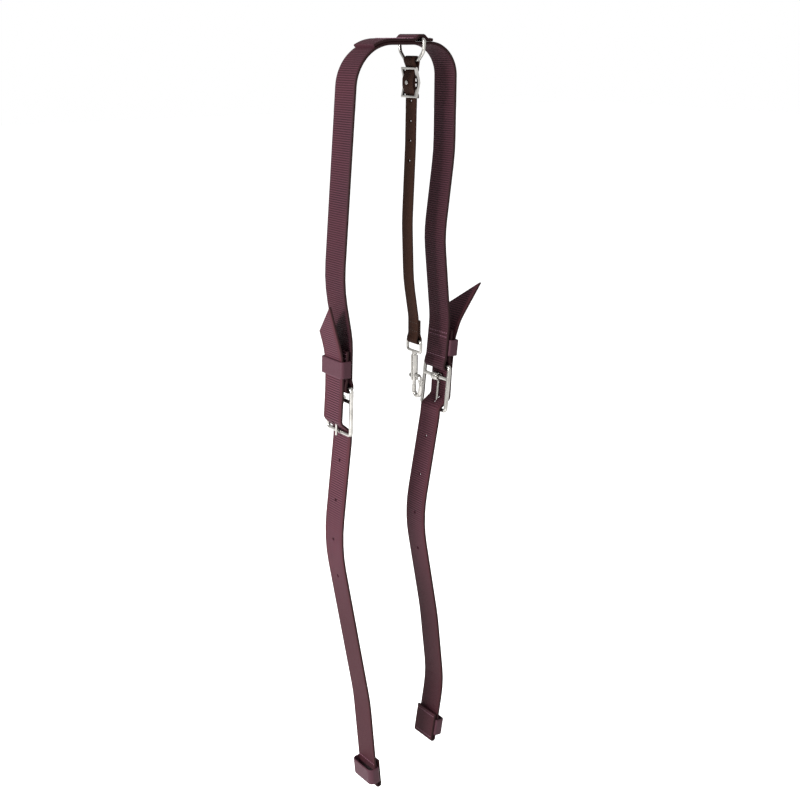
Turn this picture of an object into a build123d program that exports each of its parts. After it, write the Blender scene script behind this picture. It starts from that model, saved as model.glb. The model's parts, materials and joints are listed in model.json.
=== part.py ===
from build123d import *
import os
from math import atan2, cos, hypot, radians, sin, tan

# A webbing martingale: a wide neck strap hung over its crown as an upside-down U, with a sewn-in
# ring, a narrow centre strap that ends in a swivel snap, and a buckled billet on each leg.
# X runs from the left leg to the right leg, Y across the width of the webbing, Z is up.
# The origin is the middle of the flat underside of the crown, where the strap rests when hung.

# ---- driving sizes, in millimetres -------------------------------------------------------------
WEB_W = 40.0            # width of the neck strap
WEB_T = 3.5             # thickness of the neck strap
BILLET_W = 38.0         # width of each billet
BILLET_T = 3.0          # thickness of each billet
STRAP_W = 20.0          # width of the centre strap
STRAP_T = 2.5           # thickness of the centre strap
KEEPER_T = 2.0          # thickness of the keeper and end-loop webbing
KEEPER_H = 20.0         # height of a keeper along the leg

CROWN_LEFT = -61.0      # where the left leg's line meets the line of the crown
CROWN_RIGHT = 74.0      # the same for the right leg
CROWN_R_LEFT = 50.0     # bend of the crown into the left leg
CROWN_R_RIGHT = 36.0    # bend of the crown into the right leg
LEFT_WAIST = (-84.0, -262.0)    # where the left leg bends in above its buckle, X and Z
LEFT_LEG_R = [110.0, 180.0]     # bends of the left leg, from the buckle up
RIGHT_LEG = [(73.0, -120.0), (59.5, -218.0)]    # where the right leg bends
RIGHT_LEG_R = [240.0, 160.0, 90.0]      # bends of the right leg, from the crown down
LEFT_HEEL = (-78.0, -382.0)     # heel bar of the left buckle, X and Z
RIGHT_HEEL = (66.0, -378.0)     # heel bar of the right buckle
LEFT_TILT = 2.0         # lean of the left buckle from upright, degrees
RIGHT_TILT = 6.0        # lean of the right buckle

BAR_R = 2.5             # rod of the buckle frames
BUCKLE_PITCH = 16.0     # heel bar to centre bar
BUCKLE_H = 56.0         # heel bar to lower bar
BUCKLE_CORNER = 4.0     # bend of the frame's corners
TONGUE_R = 1.5          # wire of the buckle tongue
TONGUE_TURNS = 4        # turns of the tongue round the centre bar
TONGUE_OVER = 4.5       # how far the tongue reaches past the lower bar
SLOT_L = 13.0           # length of the worn hole that the tongue stands in
HOLE_D = 5.0            # punched holes of the billets
HOLE_PITCH = 50.0
HOLE_COUNT = 4
TIP_DROP = 38.0         # slant of the cut tip of a billet
FLAP = 44.0             # folded-back end of the neck strap, measured from the heel bar
SEAM_UP = 9.0           # where the two layers of a leg meet over the heel bar
WRAP_UP = 3.0           # where they start to close over it
LEG_UP = 56.0           # where a leg bends out of the line of its buckle
SEAM_R = 10.0           # bends of the layers where they close
CROSS_UP = 14.0         # a billet leaves the outside of its buckle this far above the lower bar
CROSS_OUT = 1.5         # and stands this much further out there, so that the tongue can lift
BEHIND_UP = 2.0         # it is behind the buckle this far above the lower bar
BELOW_BAR = 10.0        # and runs straight to here, below the lower bar
CROSS_R = 7.0           # bends at both ends of the crossing
BILLET_R = 60.0         # bends above and below the buckle
KEEPER_LOW = 13.0       # lower edge of a keeper above the heel bar
KEEPER_ROOM = 10.5      # depth inside a keeper
END_FLAP = 38.0         # turned-up end of a billet
LOOP_H = 22.0           # height of an end loop
LOOP_UP = 8.0           # lower edge of an end loop above the end of the billet
LOOP_ROOM = 8.0         # depth inside an end loop

RING_X = 25.0           # where the ring hangs on the crown
RING_R = 2.0            # wire of the ring
RING_DROP = 22.5        # bar of the ring to its bow
OVERLAY_LEFT = 28.0     # how far the crown overlay follows the left bend, degrees
OVERLAY_RIGHT = 40.0    # right end of the crown overlay

ADJUSTER_R = 1.5        # bars of the adjuster on the centre strap
ADJUSTER_PITCH = 15.5   # bar to bar
ADJUSTER_DROP = 9.0     # bow of the ring to the adjuster's top bar
ADJUSTER_SIDE = 2.6     # thickness of the adjuster's two sides
SWELL = 5.0             # how far the two layers stand out over the middle bar
STUD_R = 1.3            # stud where it passes the strap
STUD_HEAD_R = 2.4
STUD_HEAD_H = 1.2
RIVET_R = 0.9           # stud where it passes the middle bar
STRAP_FIRST = 3.0       # first punched hole under the adjuster's lower bar
STRAP_HOLE_D = 3.0      # punched holes of the centre strap
STRAP_HOLE_PITCH = 22.4
STRAP_HOLE_COUNT = 4
STRAP_END = (30.0, -343.0)      # bar of the snap's eye, X and Z
STRAP_FLAP = 25.0       # folded-back end of the centre strap
STRAP_RUN = [(23.5, -112.0), (19.0, -200.0), (21.0, -268.0)]    # where its long run bends
STRAP_R = [40.0, 260.0, 260.0, 200.0, 50.0]     # bends of the long run
LAYER_R = 5.0           # bends of the two layers through the adjuster
NECK_R = 3.0            # bends where the layers close on the ring and on the eye

EYE_R = 1.8             # wire of the snap's eye
BARREL_R = 4.4          # outside of the snap's barrel
BOLT_R = 2.3            # spring bolt of the snap
HOOK_R = 2.7            # rod of the snap's hook
BOLT_TRAVEL = 8.0       # how far the bolt draws back
BOLT_OUT = 6.4          # reach of the bolt below the barrel
EYE_H = 14.0            # height of the eye
SHANK_R = 2.0           # shank of the eye in the barrel
HEAD_R = 3.1            # head of the shank
HEAD_H = 2.0
BARREL_TOP = -361.5     # top of the barrel
BARREL_L = 31.5
CAP = 3.0               # thickness of the barrel's top
HEAD_ROOM = 5.0         # room for the shank's head
WALL = 1.5              # floor between head and bore
BORE_GAP = 0.08         # running fit of shank and bolt
SPRING_WIRE = 0.3       # radius of the spring's wire
SPRING_PITCH = 1.3
SPRING_L = 11.0         # length of the spring with the bolt out
LUG_R = 1.3             # stem of the thumb lug
LUG_HEAD_R = 2.8
LUG_HEAD_H = 2.6
LUG_OUT = 8.0           # reach of the thumb lug
LUG_UP = 4.5            # thumb lug above the foot of the barrel
HOOK = [(-2.0, 7.0), (-11.0, 5.5), (-14.0, -5.0), (-11.0, -17.0), (-4.0, -20.0), (0.0, -15.0)]
HOOK_BENDS = [5.0, 6.0, 5.0, 3.0, 3.0]  # the hook's line, Y and up from the barrel's foot, bent so

SOFT_GAP = 0.3          # room left between webbing and the metal that moves in it
SEWN_GAP = 0.05         # layers sewn together lie this close
LIE_GAP = 0.2           # between a billet and the leg's webbing that it lies on over the heel bar
HALF_TURN = 0.05        # straight left between the two bends of a half turn
WIDE_GAP = 1.5          # room beside a strap in a frame or ring
THREAD_R = 0.4          # sewing thread
STITCH = 2.4            # length of one stitch
STITCH_PITCH = 3.4      # from one stitch to the next

os.makedirs("parts", exist_ok=True)


def save(part, label):
    """Name a finished piece and write it."""
    part.label = label
    export_step(part, f"parts/{label}.step")


# ---- webbing: a route in the X-Z plane, given a thickness and a width --------------------------
def headings(points):
    """Direction of each run of a route, in radians."""
    return [atan2(b[1] - a[1], b[0] - a[0]) for a, b in zip(points, points[1:])]


def beside(points, radii, shift):
    """The route that runs beside another one, shifted to its left, with its bends."""
    angles = headings(points)
    shifted = [(points[0][0] - shift * sin(angles[0]), points[0][1] + shift * cos(angles[0]))]
    bends = []
    for point, before, after, radius in zip(points[1:-1], angles, angles[1:], radii):
        turn = (after - before + radians(540)) % radians(360) - radians(180)
        middle = before + turn / 2
        reach = shift / cos(turn / 2)
        shifted.append((point[0] - reach * sin(middle), point[1] + reach * cos(middle)))
        bends.append(radius - shift if turn > 0 else radius + shift)
    shifted.append((points[-1][0] - shift * sin(angles[-1]), points[-1][1] + shift * cos(angles[-1])))
    return shifted, bends


def webbing(points, radii, thickness, width):
    """A strap of even thickness along a route, centred on it, in the part being built."""
    left, left_bends = beside(points, radii, thickness / 2)
    right, right_bends = beside(points, radii, -thickness / 2)
    with BuildSketch(Plane.XZ) as outline:
        with BuildLine():
            one = FilletPolyline(*left, radius=left_bends)
            two = FilletPolyline(*right, radius=right_bends)
            Line(one @ 0, two @ 0)
            Line(one @ 1, two @ 1)
        make_face()
    extrude(outline.sketch, amount=width / 2, both=True)


def walk(points, distance):
    """The place and heading at a distance along a route's runs, from its first point."""
    for a, b in zip(points, points[1:]):
        run = hypot(b[0] - a[0], b[1] - a[1])
        if distance <= run:
            share = distance / run
            place = (a[0] + share * (b[0] - a[0]), a[1] + share * (b[1] - a[1]))
            return place, headings([a, b])[0]
        distance -= run
    return points[-1], headings(points)[-1]


def face_plane(place, heading):
    """A plane on the webbing at a place: its x is the Y axis, its y runs along the strap."""
    return Plane(origin=(place[0], 0, place[1]), x_dir=(0, 1, 0), z_dir=(-sin(heading), 0, cos(heading)))


def punch(place, heading, length, diameter, thickness):
    """A hole through the webbing, round or longer along the strap."""
    with BuildSketch(face_plane(place, heading)) as hole:
        if length > diameter:
            SlotOverall(length, diameter, rotation=90)
        else:
            Circle(diameter / 2)
    extrude(hole.sketch, amount=thickness, both=True, mode=Mode.SUBTRACT)


def stitch_row(plane, width):
    """A row of stitches across the webbing, lying on the plane, which faces out of the webbing."""
    count = int((width - 2 * STITCH_PITCH) / STITCH_PITCH)
    with BuildSketch(plane) as row:
        with GridLocations(STITCH_PITCH, 1, count, 1):
            Rectangle(STITCH, 2 * THREAD_R)
    extrude(row.sketch, amount=THREAD_R)


# ---- how the legs are laid out round each buckle -----------------------------------------------
SIDES = {"left": (-1, LEFT_HEEL, LEFT_TILT), "right": (1, RIGHT_HEEL, RIGHT_TILT)}


def at_buckle(side, out, up):
    """X and Z of a point given outward from and upward along a buckle, from its heel bar."""
    sign, heel, tilt = SIDES[side]
    lean = radians(tilt)
    return (heel[0] + sign * out * cos(lean) + up * sin(lean),
            heel[1] - sign * out * sin(lean) + up * cos(lean))


def buckle_plane(side, out=0.0, up=0.0):
    """The plane of a buckle: its x is across the strap, its y up the leg, its z outward."""
    sign, _, tilt = SIDES[side]
    x, z = at_buckle(side, out, up)
    lean = radians(tilt)
    return Plane(origin=(x, 0, z), x_dir=(0, sign, 0), z_dir=(sign * cos(lean), 0, -sign * sin(lean)))


layer = (KEEPER_T + WEB_T) / 2 + SEWN_GAP   # centre of each layer of a leg, either side of the keeper
wrap = BAR_R + SOFT_GAP + WEB_T / 2     # centre of the webbing where it goes round the heel bar
fold = [(layer, FLAP), (layer, SEAM_UP), (wrap, WRAP_UP), (wrap, -wrap), (-wrap, -wrap),
        (-wrap, WRAP_UP), (-layer, SEAM_UP), (-layer, LEG_UP)]
fold_bends = [SEAM_R, SEAM_R, wrap - HALF_TURN, wrap - HALF_TURN, SEAM_R, SEAM_R]

# ---- neck strap: one length of webbing, folded round a heel bar at each end --------------------
crown_z = WEB_T / 2
left_end = [at_buckle("left", *point) for point in fold]
right_end = [at_buckle("right", *point) for point in reversed(fold)]
crown = [(CROWN_LEFT, crown_z), (CROWN_RIGHT, crown_z)]
neck_route = left_end + [LEFT_WAIST] + crown + RIGHT_LEG + right_end
neck_bends = fold_bends + LEFT_LEG_R + [CROWN_R_LEFT, CROWN_R_RIGHT] + RIGHT_LEG_R + fold_bends

with BuildPart() as neck_strap:
    webbing(neck_route, neck_bends, WEB_T, WEB_W)
save(neck_strap.part, "neck_strap")

# ---- crown overlay: a patch of the same webbing sewn over the ring's bar -----------------------
bend_turn = atan2(crown_z - LEFT_WAIST[1], CROWN_LEFT - LEFT_WAIST[0])
bend_start = CROWN_LEFT + CROWN_R_LEFT * tan(bend_turn / 2)
overlay_z = 1.5 * WEB_T + SEWN_GAP
overlay_r = CROWN_R_LEFT + WEB_T + SEWN_GAP
half_turn = radians(OVERLAY_LEFT / 2)
reach = overlay_r * tan(half_turn)
overlay_corner = bend_start - reach
overlay_start = (overlay_corner - reach * cos(2 * half_turn), overlay_z - reach * sin(2 * half_turn))
hump_z = 1.5 * WEB_T + 2 * RING_R + 2 * SOFT_GAP
hump_foot = 8.5         # half the length of the hump over the ring's bar
hump_top = 3.5          # half the length of its top
hump_r = 2.5
overlay_route = [overlay_start, (overlay_corner, overlay_z), (RING_X - hump_foot, overlay_z),
                 (RING_X - hump_top, hump_z), (RING_X + hump_top, hump_z),
                 (RING_X + hump_foot, overlay_z), (OVERLAY_RIGHT, overlay_z)]
overlay_bends = [overlay_r - SOFT_GAP / 2, hump_r, hump_r, hump_r, hump_r]

with BuildPart() as crown_overlay:
    webbing(overlay_route, overlay_bends, WEB_T, WEB_W)
save(crown_overlay.part, "crown_overlay")

# ---- ring: a bent-wire D whose bar lies between the neck strap and the overlay -----------------
ring_bar_z = WEB_T + SOFT_GAP + RING_R
bow_z = ring_bar_z - RING_DROP
ring_half = WEB_W / 2 + WIDE_GAP + RING_R
shoulder = (ring_half - 1.5, bow_z + 9.5)       # where a side of the ring turns in to the bow
bow_half = STRAP_W / 2 + 2.5
ring_plane = Plane(origin=(RING_X, 0, 0), x_dir=(0, 1, 0), z_dir=(1, 0, 0))

with BuildPart() as crown_ring:
    with BuildLine(ring_plane) as ring_path:
        FilletPolyline((ring_half, ring_bar_z), shoulder, (bow_half, bow_z), (-bow_half, bow_z),
                       (-shoulder[0], shoulder[1]), (-ring_half, ring_bar_z),
                       radius=[3.0, 9.0, 5.0, 5.0, 9.0, 3.0], close=True)
    with BuildSketch(Plane(origin=ring_path.line @ 0, z_dir=ring_path.line % 0)):
        Circle(RING_R)
    sweep()
save(crown_ring.part, "crown_ring")


# ---- buckles: a frame of bent rod with a cross bar, and a wire tongue wound on that bar --------
frame_half = WEB_W / 2 + WIDE_GAP + BAR_R
tongue_out = BAR_R + SOFT_GAP + TONGUE_R        # the tongue's line, clear of the lower bar's outside
tongue_gap = 0.08                               # running fit of the tongue on the centre bar
coil_lap = 0.2                                  # how far neighbouring turns are pressed together


def make_frame(side):
    """A closed frame of rod with its centre bar."""
    with BuildPart() as frame:
        with BuildLine(buckle_plane(side)) as rim:
            FilletPolyline((-frame_half, 0), (-frame_half, -BUCKLE_H), (frame_half, -BUCKLE_H),
                           (frame_half, 0), radius=BUCKLE_CORNER, close=True)
        with BuildSketch(Plane(origin=rim.line @ 0, z_dir=rim.line % 0)):
            Circle(BAR_R)
        sweep()
        x, z = at_buckle(side, 0, -BUCKLE_PITCH)
        with BuildSketch(Plane.XZ):
            with Locations((x, z)):
                Circle(BAR_R)
        extrude(amount=frame_half - BAR_R / 2, both=True)
    return frame.part


def make_tongue(side):
    """A straight wire tongue and its turns round the centre bar."""
    coil_r = BAR_R + tongue_gap + TONGUE_R
    with BuildPart() as tongue:
        centre = at_buckle(side, 0, -BUCKLE_PITCH)
        with BuildSketch(Plane(origin=(centre[0], 0, centre[1]), x_dir=(0, 1, 0), z_dir=(1, 0, 0))):
            with Locations((0, coil_r)):
                with GridLocations(2 * TONGUE_R - coil_lap, 1, TONGUE_TURNS, 1):
                    Circle(TONGUE_R)
        revolve(axis=Axis((centre[0], 0, centre[1]), (0, 1, 0)))
        shank = buckle_plane(side, tongue_out, -BUCKLE_PITCH)
        with BuildSketch(Plane(origin=shank.origin, x_dir=shank.x_dir, z_dir=shank.y_dir * -1)):
            Circle(TONGUE_R)
        extrude(amount=BUCKLE_H - BUCKLE_PITCH + TONGUE_OVER)
    return tongue.part


for side in SIDES:
    save(make_frame(side), f"{side}_buckle_frame")
    save(make_tongue(side), f"{side}_buckle_tongue")


# ---- keepers: a loop of smooth webbing, its back sewn between the strap's two layers -----------
def web_loop(plane, room, half_width, height):
    """A closed loop of thin webbing: its back leg is centred on the plane, its height runs along y."""
    outer_x = half_width + SOFT_GAP + KEEPER_T
    depth = room + 2 * KEEPER_T
    with BuildPart() as loop:
        with BuildSketch(Plane(origin=plane.origin, x_dir=plane.x_dir, z_dir=plane.y_dir)):
            with Locations((0, (KEEPER_T - depth) / 2)):
                RectangleRounded(2 * outer_x, depth, KEEPER_T * 1.4)
                RectangleRounded(2 * (outer_x - KEEPER_T), depth - 2 * KEEPER_T, SOFT_GAP,
                                 mode=Mode.SUBTRACT)
        extrude(amount=height)
    return loop.part


for side in SIDES:
    save(web_loop(buckle_plane(side, 0, KEEPER_LOW), KEEPER_ROOM, WEB_W / 2, KEEPER_H), f"{side}_keeper")

# ---- billets: from the slanted tip down through keeper and buckle to the turned-up end ---------
over_bar = (KEEPER_ROOM + WEB_T + KEEPER_T) / 2 # billet's centre in the middle of the keeper's room
over_wrap = wrap + WEB_T / 2 + LIE_GAP + BILLET_T / 2   # its centre outside the webbing on the heel bar
cross_out = over_wrap + CROSS_OUT               # its centre at the top of the crossing
cross_top = CROSS_UP - BUCKLE_H
cross_low = BEHIND_UP - BUCKLE_H
behind = BAR_R + 2 * SOFT_GAP + BILLET_T / 2    # its centre behind the lower bar
turn = KEEPER_T / 2 + BILLET_T / 2 + SEWN_GAP   # half the way between billet and its turned-up end
tips = {"left": [(27.5, 99.0), (over_bar, 34.0)], "right": [(41.0, 103.0), (14.0, 56.0), (over_bar, 32.0)]}
tip_bends = {"left": [120.0], "right": [60.0, 60.0]}
lower = {"left": [(-92.0, -578.0), (-52.0, -803.0), (-41.0, -930.0)],
         "right": [(30.0, -572.0), (55.0, -712.0), (66.0, -812.0), (52.0, -895.0)]}
lower_bends = {"left": [220.0, 300.0], "right": [180.0, 400.0, 150.0]}


def inner_side(points, sign):
    """Directions along the last run of a billet and from it towards the inner side."""
    heading = headings(points)[-1]
    along = Vector(cos(heading), 0, sin(heading))
    return along, Vector(sign * along.Z, 0, -sign * along.X)


def turned_end(points, sign):
    """The two points of a billet's end turned up on its inner side."""
    along, inward = inner_side(points, sign)
    corner = Vector(points[-1][0], 0, points[-1][1]) + inward * (2 * turn)
    top = corner - along * END_FLAP
    return [(corner.X, corner.Z), (top.X, top.Z)]


billet_routes = {}
billet_bends = {}
for side, (sign, _, _) in SIDES.items():
    threaded = [(over_wrap, -6.0), (cross_out, cross_top), (-behind, cross_low),
                (-behind, -BUCKLE_H - BELOW_BAR)]
    route = [at_buckle(side, *point) for point in tips[side] + threaded] + lower[side]
    billet_routes[side] = route + turned_end(route, sign)
    billet_bends[side] = (tip_bends[side] + [BILLET_R, CROSS_R, CROSS_R, BILLET_R] + lower_bends[side]
                          + [turn - HALF_TURN, turn - HALF_TURN])

slot_w = HOLE_D - 0.6   # the worn slot is a little narrower than a punched hole
for side in SIDES:
    top_run = at_buckle(side, cross_out, cross_top)
    low_run = at_buckle(side, -behind, cross_low)
    share = (cross_out - tongue_out) / (cross_out + behind)
    place = tuple(a + share * (b - a) for a, b in zip(top_run, low_run))
    route = [place] + billet_routes[side][billet_routes[side].index(low_run):]
    with BuildPart() as billet:
        webbing(billet_routes[side], billet_bends[side], BILLET_T, BILLET_W)
        punch(place, headings([top_run, low_run])[0], SLOT_L, slot_w, 2 * BILLET_T)
        for number in range(1, HOLE_COUNT + 1):
            punch(*walk(route, number * HOLE_PITCH), HOLE_D, HOLE_D, 2 * BILLET_T)
        edge = BILLET_W / 2 + 1
        with BuildSketch(face_plane(billet_routes[side][0], headings(billet_routes[side])[0])):
            with BuildLine():
                Polyline((-edge, 1), (edge, 1), (edge, -TIP_DROP), close=True)
            make_face()
        extrude(amount=2 * BILLET_T, both=True, mode=Mode.SUBTRACT)
    save(billet.part, f"{side}_billet")

# ---- end loops: a flat loop sewn between each billet and its turned-up end ----------------------
end_planes = {}
for side, (sign, _, _) in SIDES.items():
    route = billet_routes[side][:-2]
    along, inward = inner_side(route, sign)
    end = Vector(route[-1][0], 0, route[-1][1])
    end_planes[side] = Plane(origin=end + inward * turn, x_dir=(0, sign, 0), z_dir=inward * -1)
    low = Plane(origin=end + inward * turn - along * LOOP_UP, x_dir=(0, sign, 0), z_dir=inward * -1)
    save(web_loop(low, BILLET_T + LOOP_ROOM, BILLET_W / 2, LOOP_H), f"{side}_end_loop")

# ---- centre strap: looped over the ring, pinned in its adjuster, folded round the snap's eye ----
bow_wrap = RING_R + SOFT_GAP + STRAP_T / 2
pair = STRAP_T / 2 + 2 * SEWN_GAP           # each layer from the middle of the two
bar_top = bow_z - ADJUSTER_DROP
bar_mid = bar_top - ADJUSTER_PITCH
bar_low = bar_mid - ADJUSTER_PITCH
layer_x = RING_X + 1.0
swell_x = layer_x - SWELL
bar_off = pair + STRAP_T / 2 + SOFT_GAP + ADJUSTER_R
layers = [(layer_x, bar_low - 1.8), (layer_x, bar_low + 1.5), (swell_x, bar_mid - 4), (swell_x, bar_mid + 4),
          (layer_x, bar_top - 1.5), (layer_x, bar_top + 1)]
layer_bends = [LAYER_R, LAYER_R, LAYER_R, LAYER_R]
back_layer, back_bends = beside(layers, layer_bends, -pair)
front_layer, front_bends = beside(layers, layer_bends, pair)
bow_loop = [(RING_X + bow_wrap, bow_z - 1), (RING_X + bow_wrap, bow_z + bow_wrap),
            (RING_X - bow_wrap, bow_z + bow_wrap), (RING_X - bow_wrap, bow_z - 1)]
bow_bends = [NECK_R, NECK_R, bow_wrap - HALF_TURN, bow_wrap - HALF_TURN, NECK_R, NECK_R]
eye_x, eye_z = STRAP_END
eye_wrap = EYE_R + SOFT_GAP + STRAP_T / 2
close_up = 8.0          # where the layers close over the eye
wrap_top = 2.0          # and where they leave it
eye_turn = [(eye_x - pair, eye_z + STRAP_FLAP + 3), (eye_x - pair, eye_z + close_up),
            (eye_x - eye_wrap, eye_z + wrap_top), (eye_x - eye_wrap, eye_z - eye_wrap),
            (eye_x + eye_wrap, eye_z - eye_wrap), (eye_x + eye_wrap, eye_z + wrap_top),
            (eye_x + pair, eye_z + close_up), (eye_x + pair, eye_z + STRAP_FLAP)]
eye_bends = [LAYER_R, NECK_R, eye_wrap - HALF_TURN, eye_wrap - HALF_TURN, NECK_R, LAYER_R]
strap_route = back_layer + bow_loop + front_layer[::-1] + STRAP_RUN + eye_turn
strap_bends = back_bends + bow_bends + front_bends[::-1] + STRAP_R + eye_bends

with BuildPart() as centre_strap:
    webbing(strap_route, strap_bends, STRAP_T, STRAP_W)
    punch((swell_x, bar_mid), radians(90), STRAP_HOLE_D, STRAP_HOLE_D + SOFT_GAP, SWELL)
    below_bar = front_layer[:1] + STRAP_RUN
    for number in range(STRAP_HOLE_COUNT):
        place = walk(below_bar, STRAP_FIRST + number * STRAP_HOLE_PITCH)
        punch(*place, STRAP_HOLE_D, STRAP_HOLE_D, STRAP_T)
save(centre_strap.part, "centre_strap")

# ---- adjuster: a cast frame with three bars and a riveted stud that pins both layers ------------
window = STRAP_W / 2 + WIDE_GAP
end_bar_x = layer_x - bar_off
mid_bar_x = swell_x + bar_off

with BuildPart() as adjuster_frame:
    webbing([(end_bar_x, bar_top), (mid_bar_x, bar_mid), (end_bar_x, bar_low)], [14.0],
            2 * ADJUSTER_R, 2 * (window + ADJUSTER_SIDE))
    with BuildSketch(Plane.XZ):
        with Locations((layer_x, bar_mid)):
            Rectangle(40, 3 * ADJUSTER_PITCH)
    extrude(amount=window, both=True, mode=Mode.SUBTRACT)
    with BuildSketch(Plane.XZ):
        with Locations((end_bar_x, bar_top), (mid_bar_x, bar_mid), (end_bar_x, bar_low)):
            Circle(ADJUSTER_R)
    extrude(amount=window + ADJUSTER_SIDE, both=True)
    with BuildSketch(Plane(origin=(mid_bar_x + 3, 0, bar_mid), z_dir=(-1, 0, 0))):
        Circle(RIVET_R)
    extrude(amount=6, mode=Mode.SUBTRACT)
save(adjuster_frame.part, "adjuster_frame")

with BuildPart() as adjuster_stud:
    with BuildSketch(Plane(origin=(mid_bar_x + ADJUSTER_R, 0, bar_mid), z_dir=(-1, 0, 0))):
        Circle(RIVET_R)
    extrude(amount=2 * ADJUSTER_R)
    with BuildSketch(Plane(origin=(mid_bar_x - ADJUSTER_R, 0, bar_mid), z_dir=(-1, 0, 0))):
        Circle(STUD_R)
    extrude(amount=2 * pair + STRAP_T + 2 * SOFT_GAP)
    with BuildSketch(Plane(origin=(swell_x - bar_off + ADJUSTER_R, 0, bar_mid), z_dir=(-1, 0, 0))):
        Circle(STUD_HEAD_R)
    extrude(amount=STUD_HEAD_H)
    fillet(adjuster_stud.faces().sort_by(Axis.X)[0].edges(), 0.8)
save(adjuster_stud.part, "adjuster_stud")

# ---- snap: eye with a riveted shank, cast barrel and hook, spring bolt with a thumb lug ---------
eye_half = STRAP_W / 2 + WIDE_GAP + EYE_R
eye_low = eye_z - EYE_H
snap_axis = (eye_x, 0)


def turned(radius, low, high, mode=Mode.ADD):
    """A round length on the snap's axis between two heights."""
    with BuildSketch(Plane.XY.offset(low)) as disc:
        with Locations(snap_axis):
            Circle(radius)
    extrude(disc.sketch, amount=high - low, mode=mode)


head_top = BARREL_TOP - CAP - SOFT_GAP
with BuildPart() as snap_eye:
    with BuildLine(Plane(origin=(eye_x, 0, 0), x_dir=(0, 1, 0), z_dir=(1, 0, 0))) as eye_path:
        FilletPolyline((eye_half, eye_z), (eye_half, eye_low), (-eye_half, eye_low),
                       (-eye_half, eye_z), radius=3.0, close=True)
    with BuildSketch(Plane(origin=eye_path.line @ 0, z_dir=eye_path.line % 0)):
        Circle(EYE_R)
    sweep()
    turned(HEAD_R, BARREL_TOP + 0.5, eye_low)
    turned(SHANK_R, head_top, BARREL_TOP + 0.5)
    turned(HEAD_R, head_top - HEAD_H, head_top)
save(snap_eye.part, "snap_eye")

barrel_low = BARREL_TOP - BARREL_L
bore_top = head_top - HEAD_ROOM - WALL
bolt_top = bore_top - SPRING_L
bolt_low = barrel_low - BOLT_OUT
lug_z = barrel_low + LUG_UP
hook = [(y, barrel_low + up) for y, up in HOOK] + [(0.0, bolt_low - 0.4)]

with BuildPart() as snap_body:
    turned(BARREL_R, barrel_low, BARREL_TOP)
    with BuildLine(Plane(origin=(eye_x, 0, 0), x_dir=(0, 1, 0), z_dir=(1, 0, 0))) as hook_path:
        FilletPolyline(*hook, radius=HOOK_BENDS)
    with BuildSketch(Plane(origin=hook_path.line @ 0, z_dir=hook_path.line % 0)):
        Circle(HOOK_R)
    sweep()
    turned(SHANK_R + BORE_GAP, BARREL_TOP - CAP - 0.1, BARREL_TOP + 1, Mode.SUBTRACT)
    turned(HEAD_R + 0.2, head_top - HEAD_ROOM, BARREL_TOP - CAP, Mode.SUBTRACT)
    turned(BOLT_R + BORE_GAP, bolt_low, bore_top, Mode.SUBTRACT)
    with BuildSketch(Plane(origin=(eye_x, 0, 0), x_dir=(1, 0, 0), z_dir=(0, 1, 0))):
        with Locations((0, -(lug_z + BOLT_TRAVEL / 2))):
            SlotOverall(BOLT_TRAVEL + 2 * LUG_R + 0.6, 2 * LUG_R + 0.3, rotation=90)
    extrude(amount=BARREL_R + 2, mode=Mode.SUBTRACT)
save(snap_body.part, "snap_body")

with BuildPart() as snap_bolt:
    turned(BOLT_R, bolt_low, bolt_top)
    with BuildSketch(Plane(origin=(eye_x, 0, lug_z), x_dir=(1, 0, 0), z_dir=(0, 1, 0))):
        Circle(LUG_R)
    extrude(amount=LUG_OUT)
    with BuildSketch(Plane(origin=(eye_x, LUG_OUT - LUG_HEAD_H, lug_z), x_dir=(1, 0, 0), z_dir=(0, 1, 0))):
        Circle(LUG_HEAD_R)
    extrude(amount=LUG_HEAD_H)
    fillet(snap_bolt.faces().sort_by(Axis.Y)[-1].edges(), 0.9)
save(snap_bolt.part, "snap_bolt")

with BuildPart() as snap_spring:
    with BuildLine(Plane(origin=(eye_x, 0, bolt_top + SPRING_WIRE + 0.05))) as coil:
        Helix(pitch=SPRING_PITCH, height=SPRING_L - 2 * SPRING_WIRE - 0.1, radius=BOLT_R - SPRING_WIRE - 0.1)
    with BuildSketch(Plane(origin=coil.line @ 0, z_dir=coil.line % 0)):
        Circle(SPRING_WIRE)
    sweep(is_frenet=True)
save(snap_spring.part, "snap_spring")

# ---- stitching: rows of thread on the faces of the webbing --------------------------------------
for side in SIDES:
    skin = layer + WEB_T / 2
    with BuildPart() as leg_stitches:
        for up in (KEEPER_LOW - 2.0, KEEPER_LOW + KEEPER_H + 3.0, FLAP - 3.0):
            outside = buckle_plane(side, skin, up)
            inside = buckle_plane(side, -skin, up)
            stitch_row(outside, WEB_W)
            stitch_row(Plane(origin=inside.origin, x_dir=inside.x_dir, z_dir=inside.z_dir * -1), WEB_W)
    save(leg_stitches.part, f"{side}_leg_stitches")

    base = end_planes[side]
    with BuildPart() as end_stitches:
        for up in (LOOP_UP - 3.0, END_FLAP - 4.0):
            for facing in (1, -1):
                shift = base.y_dir * up + base.z_dir * (facing * (turn + BILLET_T / 2))
                stitch_row(Plane(origin=base.origin + shift, x_dir=base.x_dir, z_dir=base.z_dir * facing),
                           BILLET_W)
    save(end_stitches.part, f"{side}_end_stitches")

with BuildPart() as crown_stitches:
    for x in (bend_start + 3, 2.0, RING_X - hump_foot - 3, OVERLAY_RIGHT - 2.5):
        stitch_row(Plane(origin=(x, 0, overlay_z + WEB_T / 2), x_dir=(0, 1, 0), z_dir=(0, 0, 1)), WEB_W)
save(crown_stitches.part, "crown_stitches")

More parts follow.
